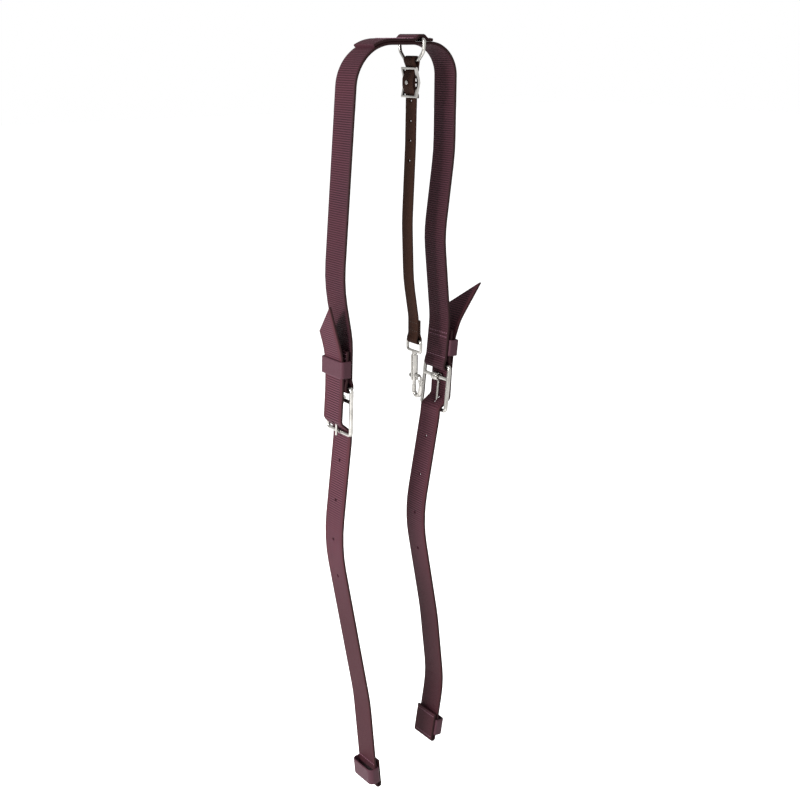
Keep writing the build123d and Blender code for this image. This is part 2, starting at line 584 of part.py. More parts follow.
with BuildPart() as centre_strap_stitches:
    for up in (12.0, STRAP_FLAP - 3.0):
        for facing in (1, -1):
            stitch_row(Plane(origin=(eye_x + facing * (pair + STRAP_T / 2), 0, eye_z + up),
                             x_dir=(0, 1, 0), z_dir=(facing, 0, 0)), STRAP_W)
save(centre_strap_stitches.part, "centre_strap_stitches")
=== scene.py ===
import json
from bisect import bisect_right
from math import atan2, cos, pi, radians, sin, tan

import bmesh
import bpy
from mathutils import Matrix, Vector


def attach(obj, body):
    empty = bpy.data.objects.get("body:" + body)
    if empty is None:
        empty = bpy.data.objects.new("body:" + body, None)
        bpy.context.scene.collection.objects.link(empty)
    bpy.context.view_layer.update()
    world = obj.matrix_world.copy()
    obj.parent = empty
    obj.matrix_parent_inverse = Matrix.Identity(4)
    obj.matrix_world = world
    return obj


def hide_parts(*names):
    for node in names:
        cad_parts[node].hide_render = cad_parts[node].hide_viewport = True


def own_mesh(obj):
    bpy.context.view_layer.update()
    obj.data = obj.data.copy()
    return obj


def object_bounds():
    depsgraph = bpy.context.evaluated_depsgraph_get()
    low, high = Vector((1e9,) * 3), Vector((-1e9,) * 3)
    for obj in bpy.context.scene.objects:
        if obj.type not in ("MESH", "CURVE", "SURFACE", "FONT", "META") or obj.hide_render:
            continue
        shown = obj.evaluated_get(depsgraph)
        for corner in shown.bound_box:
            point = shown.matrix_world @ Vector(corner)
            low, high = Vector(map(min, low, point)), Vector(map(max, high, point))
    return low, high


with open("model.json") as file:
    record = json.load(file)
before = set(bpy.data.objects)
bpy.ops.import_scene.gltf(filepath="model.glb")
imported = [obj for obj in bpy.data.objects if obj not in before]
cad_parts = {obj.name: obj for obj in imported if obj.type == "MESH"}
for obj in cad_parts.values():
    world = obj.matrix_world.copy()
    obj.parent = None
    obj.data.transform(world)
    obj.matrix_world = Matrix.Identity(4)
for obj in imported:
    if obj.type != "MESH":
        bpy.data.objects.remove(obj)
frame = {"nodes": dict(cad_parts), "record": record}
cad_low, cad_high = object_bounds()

# Camera and room: a hung strap seen from its left front, a little from above, in front of a pale
# seamless floor under broad soft lights.
FOCAL = 54.54           # lens, in millimetres on a 36 mm sensor
CAMERA_AT = (-0.8232, -1.1448, 0.0097)
CAMERA_TURN = -36.0     # degrees about Z
CAMERA_DOWN = 16.73     # degrees below level

lens = bpy.data.cameras.new("camera")
lens.lens = FOCAL
lens.sensor_width = 36.0
camera = bpy.data.objects.new("camera", lens)
camera.location = CAMERA_AT
camera.rotation_euler = (radians(90 - CAMERA_DOWN), 0, radians(CAMERA_TURN))
bpy.context.scene.collection.objects.link(camera)
bpy.context.scene.camera = camera


def soft_light(name, place, aim, size, watts):
    """A square studio light that faces a point."""
    lamp = bpy.data.lights.new(name, "AREA")
    lamp.energy = watts
    lamp.size = size
    holder = bpy.data.objects.new(name, lamp)
    holder.location = place
    holder.rotation_euler = (Vector(aim) - Vector(place)).to_track_quat("-Z", "Y").to_euler()
    bpy.context.scene.collection.objects.link(holder)


middle = (0.0, 0.0, -0.45)
soft_light("key", (-2.4, -0.25, 0.35), middle, size=0.7, watts=170)
soft_light("fill", (0.6, -2.4, 0.2), middle, size=2.0, watts=14)
soft_light("back", (1.6, 1.6, 0.6), middle, size=1.5, watts=10)

world = bpy.data.worlds.new("studio")
world.use_nodes = True
world.node_tree.nodes["Background"].inputs["Color"].default_value = (1, 1, 1, 1)
world.node_tree.nodes["Background"].inputs["Strength"].default_value = 1.0
bpy.context.scene.world = world
bpy.context.scene.view_settings.view_transform = "Standard"

FLOOR_HALF = 14.0
FLOOR_DROP = 0.12       # from the lowest end loop to the floor
floor_z = cad_low[2] - FLOOR_DROP
floor_mesh = bpy.data.meshes.new("floor")
floor_mesh.from_pydata([(-FLOOR_HALF, -FLOOR_HALF, floor_z), (FLOOR_HALF, -FLOOR_HALF, floor_z),
                        (FLOOR_HALF, FLOOR_HALF, floor_z), (-FLOOR_HALF, FLOOR_HALF, floor_z)],
                       [], [(0, 1, 2, 3)])
paper = bpy.data.materials.new("paper")
paper.use_nodes = True
paper_inputs = paper.node_tree.nodes["Principled BSDF"].inputs
paper_inputs["Base Color"].default_value = (0.92, 0.92, 0.92, 1)
paper_inputs["Roughness"].default_value = 0.9
paper_inputs["Emission Color"].default_value = (1, 1, 1, 1)
paper_inputs["Emission Strength"].default_value = 0.22
floor_mesh.materials.append(paper)
floor = bpy.data.objects.new("floor", floor_mesh)
bpy.context.scene.collection.objects.link(floor)


# Neck strap: one length of heavy ribbed nylon webbing, burgundy, hung over its crown and folded
# round the heel bar of a buckle at each end. The ribs cross the face and stop short of a plain
# selvedge on both edges; each fold is sewn down on itself above its buckle.
class Wire:
    """A shader socket that can be used in sums."""

    def __init__(self, tree, socket):
        self.tree = tree
        self.socket = socket

    def sum_of(self, operation, first, second):
        node = self.tree.nodes.new("ShaderNodeMath")
        node.operation = operation
        for slot, value in zip(node.inputs, (first, second)):
            if isinstance(value, Wire):
                self.tree.links.new(value.socket, slot)
            elif value is not None:
                slot.default_value = value
        return Wire(self.tree, node.outputs[0])

    def __add__(self, other):
        return self.sum_of("ADD", self, other)

    def __radd__(self, other):
        return self.sum_of("ADD", other, self)

    def __sub__(self, other):
        return self.sum_of("SUBTRACT", self, other)

    def __rsub__(self, other):
        return self.sum_of("SUBTRACT", other, self)

    def __mul__(self, other):
        return self.sum_of("MULTIPLY", self, other)

    def __rmul__(self, other):
        return self.sum_of("MULTIPLY", other, self)

    def __abs__(self):
        return self.sum_of("ABSOLUTE", self, None)

    def below(self, other):
        return self.sum_of("LESS_THAN", self, other)

    def above(self, other):
        return self.sum_of("GREATER_THAN", self, other)

    def wave(self):
        """A wave of two pi that runs between nought and one."""
        return self.sum_of("SINE", self, None) * 0.5 + 0.5

    def clear(self):
        """Held between nought and one."""
        node = self.tree.nodes.new("ShaderNodeClamp")
        self.tree.links.new(self.socket, node.inputs["Value"])
        return Wire(self.tree, node.outputs[0])


class Finish:
    """A material being mixed: its nodes come from one method."""

    def __init__(self, name, **fixed):
        self.material = bpy.data.materials.new(name)
        self.material.use_nodes = True
        self.tree = self.material.node_tree
        self.shader = self.tree.nodes["Principled BSDF"]
        for socket, value in fixed.items():
            self.shader.inputs[socket.replace("_", " ")].default_value = value

    def node(self, kind, settings=None, inputs=None, output=0):
        node = self.tree.nodes.new(kind)
        for key, value in (settings or {}).items():
            setattr(node, key, value)
        for key, value in (inputs or {}).items():
            if isinstance(value, Wire):
                self.tree.links.new(value.socket, node.inputs[key])
            else:
                node.inputs[key].default_value = value
        return Wire(self.tree, node.outputs[output])

    def mix(self, share, first, second):
        """A colour between two, by a share."""
        return self.node("ShaderNodeMix", {"data_type": "RGBA"}, {0: share, 6: first, 7: second}, 2)

    def noise(self, place, scale, detail=3.0):
        return self.node("ShaderNodeTexNoise", {}, {"Vector": place, "Scale": scale, "Detail": detail})

    def feed(self, **sockets):
        for socket, value in sockets.items():
            self.tree.links.new(value.socket, self.shader.inputs[socket.replace("_", " ")])

    def bump(self, height, strength, depth):
        """Feeds the surface's normal from a height between nought and one, depth metres deep."""
        self.feed(Normal=self.node("ShaderNodeBump", {}, {"Height": height, "Strength": strength,
                                                          "Distance": depth}))

    def place(self):
        """The place in the object's own coordinates."""
        return self.node("ShaderNodeTexCoord", {}, {}, 3)

    def weave(self):
        """Distance along the webbing and from its centreline, in metres."""
        uv = self.node("ShaderNodeUVMap", {"uv_map": "weave"})
        split = self.node("ShaderNodeSeparateXYZ", {}, {0: uv})
        return split, Wire(self.tree, split.socket.node.outputs[1])


def mm(*values):
    """Millimetres given as metres."""
    return tuple(value / 1000 for value in values)


class Path:
    """A route of straight runs joined by arcs, read by the distance along it.

    corners are points of a plane, and bends the radius at each corner that is turned."""

    FACET = radians(4)      # turn of an arc from dot to dot
    CLOSEST = 0.00022       # least gap between two stations
    LAST_GAP = 0.0003       # and before the end

    def __init__(self, corners, bends, closed=False):
        self.dots = []
        count = len(corners)
        for index in range(count):
            here = Vector(corners[index])
            if not closed and index in (0, count - 1):
                self.dots.append(here)
                continue
            before = (here - Vector(corners[index - 1])).normalized()
            after = (Vector(corners[(index + 1) % count]) - here).normalized()
            radius = bends[index if closed else index - 1]
            turn = atan2(before.x * after.y - before.y * after.x, before.dot(after))
            cut = radius * tan(abs(turn) / 2)
            side = Vector((-before.y, before.x)) * (1 if turn > 0 else -1)
            start = here - before * cut
            steps = max(2, int(abs(turn) / self.FACET))
            for step in range(steps + 1):
                angle = abs(turn) * step / steps
                ahead, aside = radius * sin(angle), radius * (1 - cos(angle))
                self.dots.append(start + before * ahead + side * aside)
        if closed:
            self.dots.append(self.dots[0].copy())
        self.marks = [0.0]
        for first, second in zip(self.dots, self.dots[1:]):
            self.marks.append(self.marks[-1] + (second - first).length)
        self.length = self.marks[-1]
        self.closed = closed

    def stations(self, step):
        """Distances for cross-sections: a regular step, and closer together in the bends."""
        count = max(4, int(self.length / step))
        places = sorted([self.length * index / count for index in range(count + 1)] + self.marks)
        kept = places[:1]
        for place in places:
            if place - kept[-1] > self.CLOSEST:
                kept.append(place)
        if self.length - kept[-1] < self.LAST_GAP:
            kept.pop()
        return kept if self.closed else kept + [self.length]

    def nearest(self, place):
        """Distance along the route of the point nearest to a place."""
        best = (1.0, 0.0)
        for first, second, mark in zip(self.dots, self.dots[1:], self.marks):
            run = second - first
            share = (Vector(place) - first).dot(run) / (run.length_squared or 1.0)
            share = min(max(share, 0.0), 1.0)
            gap = (first + run * share - Vector(place)).length
            best = min(best, (gap, mark + share * run.length))
        return best[1]

    def at(self, distance):
        """The point and the unit normal to the left, at a distance along the route."""
        index = min(max(bisect_right(self.marks, distance) - 1, 0), len(self.dots) - 2)
        first, second = self.dots[index], self.dots[index + 1]
        run = second - first
        share = (distance - self.marks[index]) / (run.length or 1.0)
        ahead = run.normalized()
        return first + run * share, Vector((-ahead.y, ahead.x))

    def smooth_at(self, distance, spread=0.0006):
        """As at, with the normal averaged over a short stretch so that bends shade evenly."""
        point, _ = self.at(distance)
        low = max(distance - spread, 0.0)
        high = min(distance + spread, self.length)
        ahead = (self.at(high)[0] - self.at(low)[0]).normalized()
        return point, Vector((-ahead.y, ahead.x))


def section(width, thickness, columns, edge_steps=3):
    """The outline of the webbing cut across: flat faces and rounded selvedges."""
    half, skin = width / 2, thickness / 2
    flat = half - skin
    ring = [(-flat + 2 * flat * c / columns, skin) for c in range(columns + 1)]
    ring += [(flat + skin * sin(pi * s / (edge_steps + 1)), skin * cos(pi * s / (edge_steps + 1)))
             for s in range(1, edge_steps + 1)]
    ring += [(flat - 2 * flat * c / columns, -skin) for c in range(columns + 1)]
    ring += [(-flat - skin * sin(pi * s / (edge_steps + 1)), -skin * cos(pi * s / (edge_steps + 1)))
             for s in range(1, edge_steps + 1)]
    return ring


STRAP_FRAME = (Vector((0, 0, 0)), Vector((1, 0, 0)), Vector((0, 0, 1)), Vector((0, 1, 0)))


def ribbon(name, path, width, thickness, step, columns, axes=STRAP_FRAME, slant=0.0, slant_run=0.06):
    """A length of webbing along a path, closed at its ends, with its weave laid out in a UV map.

    axes are the origin, the two axes of the path's plane and the axis across the webbing. A slant
    cuts the first end back on the far edge by that much."""
    origin, first_axis, second_axis, across = axes
    ring = section(width, thickness, columns)
    distances = path.stations(step)
    rows = len(distances)
    mesh = bmesh.new()
    weave = mesh.loops.layers.uv.new("weave")
    grid = []
    laid = {}
    for distance in distances:
        row = []
        for offset, lift in ring:
            drawn = distance
            if slant:
                drawn += slant * (offset / width + 0.5) * max(0.0, 1 - distance / slant_run)
            point, normal = path.smooth_at(drawn)
            flat = point + normal * lift
            vert = mesh.verts.new(origin + first_axis * flat.x + second_axis * flat.y + across * offset)
            laid[vert] = (drawn, offset)
            row.append(vert)
        grid.append(row)
    sides = len(ring)
    spans = rows if path.closed else rows - 1
    for station in range(spans):
        here, there = grid[station], grid[(station + 1) % rows]
        for index in range(sides):
            after = (index + 1) % sides
            mesh.faces.new((here[index], here[after], there[after], there[index]))
    if not path.closed:
        mesh.faces.new(grid[0][::-1])
        mesh.faces.new(grid[-1])
    for face in mesh.faces:
        face.smooth = len(face.verts) == 4
        face.material_index = 0 if face.smooth else 1
        longest = max(laid[loop.vert][0] for loop in face.loops)
        for loop in face.loops:
            along, offset = laid[loop.vert]
            if path.closed and longest - along > path.length / 2:
                along += path.length
            loop[weave].uv = (along, offset)
    bmesh.ops.recalc_face_normals(mesh, faces=mesh.faces)
    data = bpy.data.meshes.new(name)
    mesh.to_mesh(data)
    mesh.free()
    made = bpy.data.objects.new(name, data)
    bpy.context.scene.collection.objects.link(made)
    return made


def settle(piece):
    """Turns a piece with its modifiers into a plain mesh of the same name."""
    bpy.context.view_layer.update()
    finished = piece.evaluated_get(bpy.context.evaluated_depsgraph_get())
    shape = bpy.data.meshes.new_from_object(finished)
    name, drawn = piece.name, piece.data
    bpy.data.objects.remove(piece)
    bpy.data.meshes.remove(drawn)
    done = bpy.data.objects.new(name, shape)
    bpy.context.scene.collection.objects.link(done)
    return done


class Tree:
    """A geometry tree with named inputs for its sizes and its material."""

    def __init__(self, name, sizes):
        self.sizes = sizes
        self.group = bpy.data.node_groups.new(name, "GeometryNodeTree")
        face = self.group.interface
        face.new_socket("Geometry", in_out="INPUT", socket_type="NodeSocketGeometry")
        self.keys = {}
        for title in sizes:
            socket = face.new_socket(title, in_out="INPUT", socket_type="NodeSocketFloat")
            self.keys[title] = socket.identifier
        self.keys["Material"] = face.new_socket("Material", in_out="INPUT",
                                                socket_type="NodeSocketMaterial").identifier
        face.new_socket("Geometry", in_out="OUTPUT", socket_type="NodeSocketGeometry")
        self.entry = self.group.nodes.new("NodeGroupInput")
        self.exit = self.group.nodes.new("NodeGroupOutput")

    def node(self, kind, settings=None, inputs=None, output=0):
        node = self.group.nodes.new(kind)
        for key, value in (settings or {}).items():
            setattr(node, key, value)
        for key, value in (inputs or {}).items():
            if isinstance(value, bpy.types.NodeSocket):
                self.group.links.new(value, node.inputs[key])
            else:
                node.inputs[key].default_value = value
        return node.outputs[output]

    def maths(self, operation, first, second=0.0):
        return self.node("ShaderNodeMath", {"operation": operation}, {0: first, 1: second})

    def end(self, geometry):
        """Closes the tree: instances made real, then the material."""
        real = self.node("GeometryNodeRealizeInstances", {}, {0: geometry})
        done = self.node("GeometryNodeSetMaterial", {},
                         {"Geometry": real, "Material": self.entry.outputs["Material"]})
        self.group.links.new(done, self.exit.inputs[0])

    def put_on(self, piece, material):
        """Puts the tree on a piece: its sizes and material are set by their sockets' identifiers."""
        modifier = piece.modifiers.new(self.group.name, "NODES")
        modifier.node_group = self.group
        for title, value in self.sizes.items():
            modifier[self.keys[title]] = value
        modifier[self.keys["Material"]] = material


WEB_WIDTH, WEB_THICK = mm(40, 3.5)
RIB_PITCH, RIB_HEIGHT = mm(2.6, 0.22)
SELVEDGE = 0.0024                       # plain margin on each edge
RIB_REACH = WEB_WIDTH / 2 - SELVEDGE    # the ribs' ends, from the centreline

ribs = Tree("cross_ribs", {"Pitch": RIB_PITCH, "Height": RIB_HEIGHT, "Reach": RIB_REACH})
uv_read = ribs.node("GeometryNodeInputNamedAttribute", {"data_type": "FLOAT_VECTOR"}, {"Name": "weave"})
uv_split = ribs.node("ShaderNodeSeparateXYZ", {}, {0: uv_read})
along = uv_split
aside = uv_split.node.outputs[1]
turns = ribs.maths("DIVIDE", ribs.maths("MULTIPLY", along, 2 * pi), ribs.entry.outputs["Pitch"])
swell = ribs.maths("SINE", turns)
inside = ribs.maths("LESS_THAN", ribs.maths("ABSOLUTE", aside), ribs.entry.outputs["Reach"])
sunk = ribs.maths("SUBTRACT", swell, 1.0)
rise = ribs.maths("MULTIPLY", ribs.maths("MULTIPLY", sunk, inside), ribs.entry.outputs["Height"])
normal = ribs.node("GeometryNodeInputNormal")
push = ribs.node("ShaderNodeVectorMath", {"operation": "SCALE"}, {0: normal, "Scale": rise})
ribs.end(ribs.node("GeometryNodeSetPosition", {}, {"Geometry": ribs.entry.outputs["Geometry"],
                                                   "Offset": push}))

YARN_PITCH, MARGIN_PITCH, EDGE_SHADE_WIDTH = mm(1.1, 1.6, 1.0)
ribbed = Finish("ribbed_webbing", Specular_IOR_Level=0.05)
run, off = ribbed.weave()
rib_tone_and_groove_shade = (run * (2 * pi / RIB_PITCH)).wave()
yarn_tone = (off * (2 * pi / YARN_PITCH) + rib_tone_and_groove_shade * 1.5).wave()
margin = abs(off).above(RIB_REACH)
body_tone = rib_tone_and_groove_shade * 0.72 + yarn_tone * 0.28
margin_tone = (run * (2 * pi / MARGIN_PITCH)).wave() * 0.35 + 0.2
tone = body_tone * (1 - margin) + margin * margin_tone
fade = ribbed.noise(ribbed.place(), 14.0, 4.0)
fibre = ribbed.noise(ribbed.place(), 900.0, 2.0)
# Partly painted shade: the ribs carry the weave's own tone, and the grooves between them are darkened
# almost to black for the shade that falls in them.
dyed_with_groove_shade = ribbed.mix(tone, (0.003, 0.001, 0.0014, 1), (0.045, 0.0152, 0.0225, 1))
worn = ribbed.mix((fade * 1.8 - 0.7).clear() * 0.5, dyed_with_groove_shade, (0.040, 0.0105, 0.014, 1))
# Painted shade: the last millimetre of each edge is darkened almost to black, for the shade on the
# selvedges where the key light grazes them.
edge_shade = abs(off).above(WEB_WIDTH / 2 - EDGE_SHADE_WIDTH)
fibrous = ribbed.mix(fibre * 0.25, worn, (0.012, 0.004, 0.005, 1))
ribbed.feed(Base_Color=ribbed.mix(edge_shade * 0.85, fibrous, (0.010, 0.004, 0.004, 1)),
            Roughness=0.52 + fibre * 0.22)
ribbed.bump(tone * 0.7 + fibre * 0.3, 0.55, 0.00035)

joints = {joint["name"]: joint for joint in frame["record"]["behaviour"]["joints"]}
TILT = {"left": 2.0, "right": 6.0}          # lean of each buckle, degrees
SIGN = {"left": -1, "right": 1}
heel = {side: joints[f"{side}_buckle_swing"]["pos_m"] for side in SIGN}     # heel bar's middle


def at_buckle(side, out, up):
    """X and Z of a point given, in millimetres, outward from and upward along a buckle."""
    lean = radians(TILT[side])
    return (heel[side][0] + (SIGN[side] * out * cos(lean) + up * sin(lean)) / 1000,
            heel[side][2] + (-SIGN[side] * out * sin(lean) + up * cos(lean)) / 1000)


def buckle_axes(side, out, up):
    """Origin and axes of a buckle: across the strap, outward, up the leg."""
    x, z = at_buckle(side, out, up)
    lean = radians(TILT[side])
    sign = SIGN[side]
    outward = Vector((sign * cos(lean), 0, -sign * sin(lean)))
    return Vector((x, 0, z)), Vector((0, sign, 0)), outward, Vector((sin(lean), 0, cos(lean)))


LAYER = 2.80            # centre of each layer either side of the keeper's back
WRAP = 4.55             # centre of the webbing round the heel bar
fold = [(LAYER, 44), (LAYER, 9), (WRAP, 3), (WRAP, -WRAP), (-WRAP, -WRAP), (-WRAP, 3), (-LAYER, 9),
        (-LAYER, 56)]
fold_bends = mm(10, 10, WRAP - 0.05, WRAP - 0.05, 10, 10)
crown_z = WEB_THICK / 2
neck_route = ([at_buckle("left", *point) for point in fold]
              + [mm(-84, -262), (-0.061, crown_z), (0.074, crown_z), mm(73, -120), mm(59.5, -218)]
              + [at_buckle("right", *point) for point in reversed(fold)])
neck_path = Path(neck_route, fold_bends + mm(110, 180, 50, 36, 240, 160, 90) + fold_bends)
neck = ribbon("neck_strap_webbing", neck_path, WEB_WIDTH, WEB_THICK, step=RIB_PITCH / 6, columns=7)
ribs.put_on(neck, ribbed.material)
neck = settle(neck)
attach(neck, "root")
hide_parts("neck_strap")


# Crown overlay: a short piece of the same ribbed webbing, sewn over the crown of the neck strap.
# It rises in a small hump over the bar of the ring, and is held by four rows of stitching across.
overlay_route = [mm(-40.3, -0.97), mm(-28.55, 5.30), mm(16.5, 5.30), mm(21.5, 9.85), mm(28.5, 9.85),
                 mm(33.5, 5.30), mm(40, 5.30)]
overlay_path = Path(overlay_route, mm(53.35, 2.5, 2.5, 2.5, 2.5))
overlay = ribbon("crown_overlay_webbing", overlay_path, WEB_WIDTH, WEB_THICK, step=RIB_PITCH / 6,
                 columns=7)
ribs.put_on(overlay, ribbed.material)
overlay = settle(overlay)
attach(overlay, "root")
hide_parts("crown_overlay")


# Ring: a D of bent nickel-plated wire, butted and brazed, held by its bar between the neck strap
# and the overlay. Its plating has fine scratches and painted reflections: a dark and light mottle.
nickel = Finish("nickel", Metallic=1.0)
where = nickel.place()
# Painted reflections: noise mottles the base colour dark and light, for the bands of the room mirrored in
# the polished plating; it also sets the roughness.
reflection_mottle = ((nickel.noise(where, 70.0, 3.0) - 0.5) * 1.7 + 0.5).clear()
drawn_out = nickel.node("ShaderNodeMapping", {}, {"Vector": where, "Scale": (300, 2200, 2200)})
scratch = nickel.noise(drawn_out, 1.0)
nickel.feed(Base_Color=nickel.mix(reflection_mottle, (0.20, 0.192, 0.178, 1), (0.46, 0.445, 0.42, 1)),
            Roughness=((1 - reflection_mottle) * 0.2 + scratch * 0.16 + 0.06).clear())
nickel.bump(scratch * 0.6 + reflection_mottle * 0.4, 0.25, 0.0001)
frame["nodes"]["crown_ring"].material_slots[0].material = nickel.material


# Buckles: a frame of nickel-plated rod with a cross bar, and a wire tongue wound on that bar that
# rests on the lower bar. The webbing's fold runs round the upper bar.
for side in SIGN:
    for part in ("buckle_frame", "buckle_tongue"):
        frame["nodes"][f"{side}_{part}"].material_slots[0].material = nickel.material


# Keepers: a band of smooth satin-faced webbing sewn into the fold above each buckle, that holds
# the billet's tip. Its yarns run lengthwise and its surface is a shade lighter.
satin = Finish("satin_webbing", Specular_IOR_Level=0.1)
run, off = satin.weave()
WARP_PITCH, TWILL_PITCH = mm(0.9, 0.7)
warp = (off * (2 * pi / WARP_PITCH)).wave()
twill = ((run + off * 0.7) * (2 * pi / TWILL_PITCH)).wave()
fibre = satin.noise(satin.place(), 700.0, 2.0)
patch = satin.noise(satin.place(), 30.0, 3.0)
yarns = warp * 0.6 + twill * 0.4
glossy = satin.mix(yarns, (0.018, 0.006, 0.009, 1), (0.052, 0.019, 0.028, 1))
satin.feed(Base_Color=satin.mix(patch * 0.6, glossy, (0.032, 0.010, 0.014, 1)),
           Roughness=0.40 + fibre * 0.2)
satin.bump(yarns * 0.8 + fibre * 0.2, 0.4, 0.00015)

KEEPER_THICK, KEEPER_HEIGHT, KEEPER_FOOT = mm(2.0, 20.0, 13.0)
keeper_outline = [mm(-21.3, 0), mm(21.3, 0), mm(21.3, 12.5), mm(-21.3, 12.5)]
for side in SIGN:
    axes = buckle_axes(side, 0, (KEEPER_FOOT + KEEPER_HEIGHT / 2) * 1000)
    band = ribbon(f"{side}_keeper_band", Path(keeper_outline, mm(1.4, 1.4, 3.4, 3.4), closed=True),
                  KEEPER_HEIGHT, KEEPER_THICK, step=0.0012, columns=14, axes=axes)
    band.data.materials.append(satin.material)
    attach(band, "root")
    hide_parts(f"{side}_keeper")


# Billets: flat burgundy webbing in a fine diamond weave between plain margins, its tip cut on the
# slant and heat-sealed. Each runs down through the keeper and over the buckle's bar, is punched
# with a row of holes, and is turned up and sewn at its lower end.
diamond = Finish("diamond_webbing", Specular_IOR_Level=0.05)
run, off = diamond.weave()
BILLET_WIDTH, BILLET_THICK = mm(38, 3)
BILLET_MARGIN, BILLET_EDGE_SHADE = mm(5.5, 1.1)
DARKER_BELOW = 0.58     # below this height, in metres, a billet's colour grows darker towards the bottom
ZIGZAG_PITCH, RIBBING_PITCH, CROSSING_PITCH, MARGIN_YARN_PITCH = mm(4, 2.9, 2, 1.2)
MARGIN_SLANT = 900.0    # radians of wave for each metre across
zigzag = (off * (2 * pi / ZIGZAG_PITCH)).wave()
ribbing = (run * (2 * pi / RIBBING_PITCH) + zigzag * 1.1).wave()
crossing = (off * (2 * pi / CROSSING_PITCH) + ribbing * 2.0).wave()
field = abs(off).below(BILLET_WIDTH / 2 - BILLET_MARGIN)
margin_yarn = (run * (2 * pi / MARGIN_YARN_PITCH) + off * MARGIN_SLANT).wave() * 0.25 + 0.12
pattern = (ribbing * 0.85 + crossing * 0.15) * field + margin_yarn * (1 - field)
fibre = diamond.noise(diamond.place(), 900.0, 2.0)
fade = diamond.noise(diamond.place(), 11.0, 4.0)
plain = diamond.mix(pattern, (0.003, 0.001, 0.0015, 1), (0.064, 0.0225, 0.032, 1))
redder = diamond.mix((1 - field) * 0.5, plain, (0.044, 0.012, 0.016, 1))
faded = diamond.mix((fade * 1.8 - 0.7).clear() * 0.5, redder, (0.054, 0.016, 0.022, 1))
# Painted shade: the billet's edges are darkened almost to black, for the shade that falls along its
# selvedges.
edge_shade = abs(off).above(BILLET_WIDTH / 2 - BILLET_EDGE_SHADE)
height = diamond.node("ShaderNodeSeparateXYZ", {}, {0: diamond.place()}, 2)
# The billets' colour darkens towards their lower ends, by height alone.
lower_darkening = ((-DARKER_BELOW - height) * 9.0).clear() * 0.75
darkened_below = diamond.mix(lower_darkening, faded, (0.022, 0.0065, 0.0085, 1))
diamond.feed(Base_Color=diamond.mix(edge_shade * 0.8, darkened_below, (0.010, 0.004, 0.004, 1)),
             Roughness=0.50 + fibre * 0.25)
diamond.bump(pattern * 0.75 + fibre * 0.25, 0.5, 0.00028)

sealed = Finish("sealed_edge", Specular_IOR_Level=0.2)
melt = sealed.noise(sealed.place(), 500.0, 3.0)
sealed.feed(Base_Color=sealed.mix(melt, (0.008, 0.003, 0.003, 1), (0.025, 0.009, 0.010, 1)),
            Roughness=0.25 + melt * 0.3)
sealed.bump(melt, 0.6, 0.0003)

PIN_SIDES = 32


def pins(name, places):
    """Cutters for punched holes.

    Each is a rounded slot, given by its place and normal in the path's plane, its length and
    breadth, and its reach to either side."""
    mesh = bmesh.new()
    for place, normal, length, breadth, reach in places:
        ahead = Vector((normal.y, 0, -normal.x))
        through = Vector((normal.x, 0, normal.y))
        centre = Vector((place.x, 0, place.y))
        ends = ([], [])
        for index in range(PIN_SIDES):
            angle = 2 * pi * (index + 0.5) / PIN_SIDES
            shift = (length - breadth) / 2 * (1 if cos(angle) > 0 else -1)
            aside = Vector((0, sin(angle) * breadth / 2, 0))
            spot = centre + ahead * (shift + cos(angle) * breadth / 2) + aside
            ends[0].append(mesh.verts.new(spot - through * reach))
            ends[1].append(mesh.verts.new(spot + through * reach))
        for index in range(PIN_SIDES):
            after = (index + 1) % PIN_SIDES
            mesh.faces.new((ends[0][index], ends[0][after], ends[1][after], ends[1][index]))
        mesh.faces.new(ends[0])
        mesh.faces.new(ends[1])
    bmesh.ops.recalc_face_normals(mesh, faces=mesh.faces)
    data = bpy.data.meshes.new(name)
    mesh.to_mesh(data)
    mesh.free()
    made = bpy.data.objects.new(name, data)
    bpy.context.scene.collection.objects.link(made)
    return made


def punched(piece, cutter):
    """Takes the cutters out of a piece of webbing."""
    cut = piece.modifiers.new("holes", "BOOLEAN")
    cut.operation = "DIFFERENCE"
    cut.solver = "EXACT"
    cut.object = cutter
    done = settle(piece)
    data = cutter.data
    bpy.data.objects.remove(cutter)
    bpy.data.meshes.remove(data)
    return done


OVER_BAR = 8.0          # centre of the billet outside the heel bar, millimetres
CROSS_OUT = 9.5         # and where it turns in to cross the frame
BEHIND = 4.6            # centre of the billet behind the lower bar
TURNED = 0.00255        # half the way between the billet and its turned-up end
TURN_UP = 0.038         # length of the turned-up end
TIP_DROP = 0.038        # how much shorter the tip is on its far edge
HOLE_STEP, HOLES = 0.050, 4
HOLE_OPEN = 0.0042      # what the webbing leaves open of a punched hole
SLOT_LENGTH, SLOT_BREADTH, CUT_REACH = mm(13, 4.4, 3)
SLOT_OUT = 4.3          # where the tongue passes through the billet, outside the heel bar
tips = {"left": [(27.5, 99), (OVER_BAR, 34)], "right": [(41, 103), (14, 56), (OVER_BAR, 32)]}
tip_bends = {"left": mm(120), "right": mm(60, 60)}
threaded = [(OVER_BAR, -6), (CROSS_OUT, -42), (-BEHIND, -54), (-BEHIND, -66)]
lower = {"left": [mm(-92, -578), mm(-52, -803), mm(-41, -930)],
         "right": [mm(30, -572), mm(55, -712), mm(66, -812), mm(52, -895)]}
lower_bends = {"left": mm(220, 300), "right": mm(180, 400, 150)}
billet_end = {}
